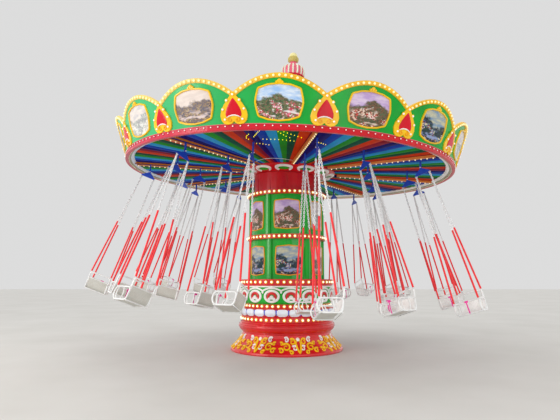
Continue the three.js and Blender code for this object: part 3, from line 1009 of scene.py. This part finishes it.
def make_crown_scrolls():
    """White arches over green lenses on the crown, its lip, and a thin cable before it."""
    shape = Shape()
    profile = [(0.95, 4.49), (1.12, 4.54), (1.225, 4.572), (CROWN_RADIUS, 4.585), (CROWN_RADIUS, 4.612)]
    arch = arc((0.0, 0.115), 0.168, 0.125, sweep(-42, 222, 24))
    widths = [0.08 - 0.04 * abs(k / 12 - 1) ** 3 for k in range(25)]
    lens = arc((0.0, 0.105), 0.124, 0.068, steps_round(18))
    for turn in steps_round(CROWN_ARCHES, FIRST_ARCH):
        place = on_wall(profile, turn)
        shape.add(ribbon(place, arch, widths, 0.035))
        shape.add(plate(place, lens, 0.014, (0.0, 0.105)), 1)
    shape.add(turned([(0.868, 4.462), (0.88, 4.458), (0.955, 4.483), (0.95, 4.491)]), 2)
    cable = []
    for k, turn in enumerate(sweep(-33, 3, 16)):
        cable.append(around(1.5 + 0.2 * math.sin(math.pi * k / 16), turn, CEILING - 0.02))
    shape.add(tube(cable, 0.006, 6), 3)
    canopy_piece("crown_scrolls", shape, [WHITE, GREEN, RED, CHAIN_STEEL])


def make_roof_ribs():
    shape = Shape()
    curve = [(4.06, 4.8), (2.5, 5.35), (1.3, 6.03), (0.6, 6.57), (0.3, 6.88)]
    for turn in steps_round(BOARDS, FIRST_RIB):
        shape.add(tube(rounded([around(r, turn, z) for r, z in curve], 0.3), 0.028, 6))
    canopy_piece("roof_ribs", shape, [RED])


def make_finial():
    """Ribs and rings on the finial, and its bead: a pale dome in a ridged collar."""
    shape = Shape()
    foot = [(0.245, 6.88), (0.178, 7.05), (0.207, 7.22)]
    profile = foot + [(0.297, 7.29), (0.318, 7.4), (0.306, 7.53), (0.216, 7.6)]
    for turn in steps_round(16):
        shape.add(tube(rounded([around(r, turn, z) for r, z in profile], 0.08, 4), 0.022, 6))
    for radius, height in ((0.302, 7.285), (0.19, 7.13)):
        shape.add(moulding(radius, height, 0.026), 1)
    canopy_piece("finial_ribs", shape, [FINIAL_CREAM, CRIMSON])
    bead = Shape()
    ridges = [(0.134, 7.748), (0.142, 7.8), (0.138, 7.85)]
    collar = [(0.0, 7.7205), (0.105, 7.722)] + ridges + [(0.112, 7.873), (0.1, 7.875)]
    dome = [(0.1, 7.875), (0.112, 7.885), (0.11, 7.925), (0.092, 7.965), (0.055, 7.993), (0.0, 8.004)]
    bead.add(turned(collar, 32))
    bead.add(turned(dome, 32), 1)
    for turn in steps_round(18):
        bead.add(tube([around(r, turn, z) for r, z in ridges], 0.009, 6))
    piece = canopy_piece("finial_bead", bead, [OLIVE, DOME_CREAM])
    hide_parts("finial_ball")


def make_canopy():
    dress_canopy_nodes()
    make_boards()
    make_board_edges()
    make_cartouches()
    make_spades()
    make_rim_trim()
    make_ceiling_panels()
    make_rib_lamps()
    make_fairy_lights()
    make_crown_scrolls()
    make_roof_ribs()
    make_finial()


# Chairs

def add_spreader(shape):
    """The triangular hanger plate with its pin and end shackles."""
    half = SPREADER_THICKNESS / 2
    low = -SPREADER_DROP - 0.02
    right = [(0.012, 0.02), (0.018, 0.012), (0.02, -0.018), (0.036, -0.03), (SPREADER_HALF - 0.01, -0.122),
             (SPREADER_HALF, -0.13), (SPREADER_HALF, low + 0.01), (SPREADER_HALF - 0.01, low)]
    outline = right + [(-x, z) for x, z in reversed(right)]
    count = len(outline)
    points = [Vector((x, side * half, z)) for side in (-1, 1) for x, z in outline]
    sides = [tuple(reversed(range(count))), tuple(range(count, 2 * count))]
    shape.add((points, sides + ring_faces(2, count)))
    for hand in (-1, 1):
        eye = arc((hand * CHAIN_TOP[0], low - 0.008), 0.02, 0.024, steps_round(14))
        shape.add(tube([(x, 0, z) for x, z in eye], 0.008, 6, closed=True), 2)
    shape.add(tube([(0, -0.032, 0), (0, 0.032, 0)], 0.012, 10), 2)


def add_chain(shape, top, foot):
    """Links down to the sleeve, then the sleeve over the rest."""
    top, foot = Vector(top), Vector(foot)
    along = foot - top
    length = along.length
    along.normalize()
    across = along.cross(Vector((0, 1, 0))).normalized()
    other = along.cross(across)
    sleeve_start = length * SLEEVE_SHARE
    pitch = 0.044
    link_reach = 0.029
    link_half = 0.015
    for i in range(int(sleeve_start / pitch) + 1):
        middle = top + along * (pitch * (i + 0.3))
        wide = across if i % 2 else other
        path = []
        for t in steps_round(8):
            reach = math.copysign(abs(math.sin(t)) ** 0.7, math.sin(t)) * link_reach
            path.append(middle + along * reach + wide * (link_half * math.cos(t)))
        shape.add(tube(path, 0.0078, 4, closed=True), 2)
    shape.add(tube([top + along * sleeve_start, top + along * (length - 0.02)], 0.0195), 3)
    shape.add(tube([top + along * (length - 0.03), foot], 0.011, 6), 2)


def on_chair(y, z, x=0.0):
    """A point of the chair from its place across, front to back and over the seat."""
    return Vector((x, y, z - SEAT_DROP))


def crossbar(y, z, half, radius, sides=8):
    return tube([on_chair(y, z, -half), on_chair(y, z, half)], radius, sides)


def add_sheet(shape):
    """The seat sheet, bent up into a back, with a hem all round."""
    corners = [(0, -0.205, 0.007), (0, 0.118, 0.007), (0, 0.17, 0.064), (0, 0.211, 0.2645)]
    path = [(p.y, p.z) for p in rounded(corners, 0.08, 6)]
    last = len(path) - 1
    half = SEAT_HALF - TUBE_RADIUS
    out = normals(path)

    def side(thickness, hand):
        def place(share, row):
            i = round(row * last)
            (y, z), (ny, nz) = path[i], out[i]
            return on_chair(y + ny * thickness, z + nz * thickness, hand * half * (2 * share - 1))
        return place

    shape.add(grid(10, last, side(0.005, 1)), 4)
    shape.add(grid(10, last, side(-0.005, -1)), 5)
    for y, z in (path[0], path[last]):
        shape.add(crossbar(y, z, half, 0.01), 1)
    for hand in (-1, 1):
        shape.add(tube([on_chair(y, z, hand * half) for y, z in path], 0.009, 6), 1)


def add_frame(shape):
    """Side loops with bowed rods, the back rail, the safety bar and the bars under the seat."""
    loop = [ARM_FRONT, (-0.246, 0.112), (-0.192, 0.0), (0.168, 0.0), ARM_BACK]
    height = ARM_BACK[1]
    for hand in (-1, 1):
        x = hand * SEAT_HALF
        path = rounded([on_chair(y, z, x) for y, z in loop], 0.07, closed=True)
        shape.add(tube(path, TUBE_RADIUS, closed=True), 1)
        for middle, bow in ((-0.12, -0.04), (0.0, 0.04)):
            rod = [on_chair(middle + bow * math.sin(math.pi * k / 8), height * k / 8, x) for k in range(9)]
            shape.add(tube(rod, 0.0095, 6), 1)
    corners = [(ARM_BACK, -1), (BACK_TOP, -1), (BACK_TOP, 1), (ARM_BACK, 1)]
    back = [on_chair(y, z, hand * SEAT_HALF) for (y, z), hand in corners]
    shape.add(tube(rounded(back, 0.05, 6), TUBE_RADIUS), 1)
    for y, z in ((0.168, 0.0), (-0.192, 0.0), ARM_FRONT):
        shape.add(crossbar(y, z, SEAT_HALF, 0.012), 1)


def add_strap(shape):
    """A strap from the safety bar down to the front edge of the seat."""
    front, high = ARM_FRONT
    path = [(front - 0.015, high + 0.004), (front - 0.017, high - 0.02), (front - 0.024, 0.12),
            (front - 0.02, 0.04), (front - 0.012, -0.004)]
    last = len(path) - 1

    def place(share, row, depth=0.0):
        y, z = path[round(row * last)]
        return on_chair(y + depth, z, STRAP_WIDTH * (share - 0.5))

    shape.add(grid(2, last, lambda share, row: place(1 - share, row)), 6)
    shape.add(grid(2, last, lambda share, row: place(share, row, 0.003)), 6)
    shape.add(crossbar(front, high, 0.035, 0.018, 10), 6)


def chair_mesh():
    """One chair; below its spreader the chains let it trail a little."""
    shape = Shape()
    add_spreader(shape)
    upper = len(shape.points)
    add_sheet(shape)
    add_frame(shape)
    add_strap(shape)
    x, y, z = CHAIN_TOP
    for hand in (-1, 1):
        for foot in (ARM_FRONT, BACK_TOP):
            add_chain(shape, (hand * x, y, z), on_chair(*foot, hand * SEAT_HALF))
    joint = Matrix.Translation((0, 0, -SPREADER_DROP))
    trailing = joint @ Matrix.Rotation(TRAIL, 4, "X") @ joint.inverted()
    shape.points[upper:] = [trailing @ Vector(point) for point in shape.points[upper:]]
    paints = [BLUE, TUBE_WHITE, CHAIN_STEEL, SLEEVE_RED, SEAT_INSIDE, SEAT_OUTSIDE, STRAP_PINK]
    return make_mesh("chair", shape, paints, sharp=50)


def make_chairs():
    mesh = chair_mesh()
    for kind, radius, shift, swing in CHAIR_RINGS:
        for i, turn in enumerate(steps_round(RIBS, FIRST_RIB, shift)):
            pivot = Matrix.Translation(around(radius, turn, PIVOT_HEIGHT))
            hang = Matrix.Rotation(turn - math.pi / 2, 4, "Z") @ Matrix.Rotation(-swing, 4, "Y")
            name = f"chair_{kind}_{i + 1}"
            piece = place_piece(f"seat_{kind}_{i + 1}", mesh, name, LEAN @ pivot @ hang)
            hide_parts(name)


# Floor, light and camera

def make_floor():
    nodes = Nodes("floor")
    patches = nodes.noise(nodes.where(), 0.4)
    tone = nodes.ramp(patches, [(0.3, linear("c9c7c2")), (0.7, linear("d2d0cc"))])
    nodes.set(Base_Color=tone, Roughness=0.8)
    mesh = bpy.data.meshes.new("floor")
    size = 90
    corners = [(-size, -size, 0), (size, -size, 0), (size, size, 0), (-size, size, 0)]
    mesh.from_pydata(corners, [], [(0, 1, 2, 3)])
    mesh.materials.append(nodes.material)
    floor = add_object("floor", mesh)


def make_light(name, place, aim, size, power, colour=(1, 1, 1)):
    light = bpy.data.lights.new(name, "AREA")
    light.shape = "RECTANGLE"
    light.size, light.size_y = size
    light.energy = power
    light.color = colour
    holder = add_object(name, light)
    holder.location = place
    holder.rotation_euler = (Vector(aim) - Vector(place)).to_track_quat("-Z", "Y").to_euler()


def make_lights():
    """White light from all round, seen as a light grey behind the ride, and two lamps."""
    world = bpy.data.worlds.new("sky")
    world.use_nodes = True
    tree = world.node_tree
    seen = tree.nodes.new("ShaderNodeLightPath").outputs["Is Camera Ray"]
    tone = tree.nodes.new("ShaderNodeMapRange")
    tone.inputs["To Min"].default_value = 1.0
    tone.inputs["To Max"].default_value = 0.72
    tree.links.new(seen, tone.inputs["Value"])
    tree.links.new(tone.outputs[0], tree.nodes["Background"].inputs["Color"])
    bpy.context.scene.world = world
    bpy.context.scene.view_settings.view_transform = "Standard"
    make_light("key", (-14, -9.5, 6.5), (0, 0, 3.0), (4.5, 9), 1000, (1.0, 0.98, 0.95))
    make_light("low_fill", (6, -13, 1.0), (0, 0, 4.0), (8, 8), 340)


def make_camera():
    """A camera at eye height that looks a little up."""
    look_up = 0.152
    camera = bpy.data.cameras.new("camera")
    camera.sensor_width = 36.0
    camera.lens = 29.93
    holder = add_object("camera", camera)
    holder.location = (-0.172, -12.29, 1.7)
    holder.rotation_euler = (math.pi / 2 + look_up, 0.0, 0.0)
    bpy.context.scene.camera = holder


make_camera()
make_column()
make_canopy()
make_chairs()
make_floor()
make_lights()
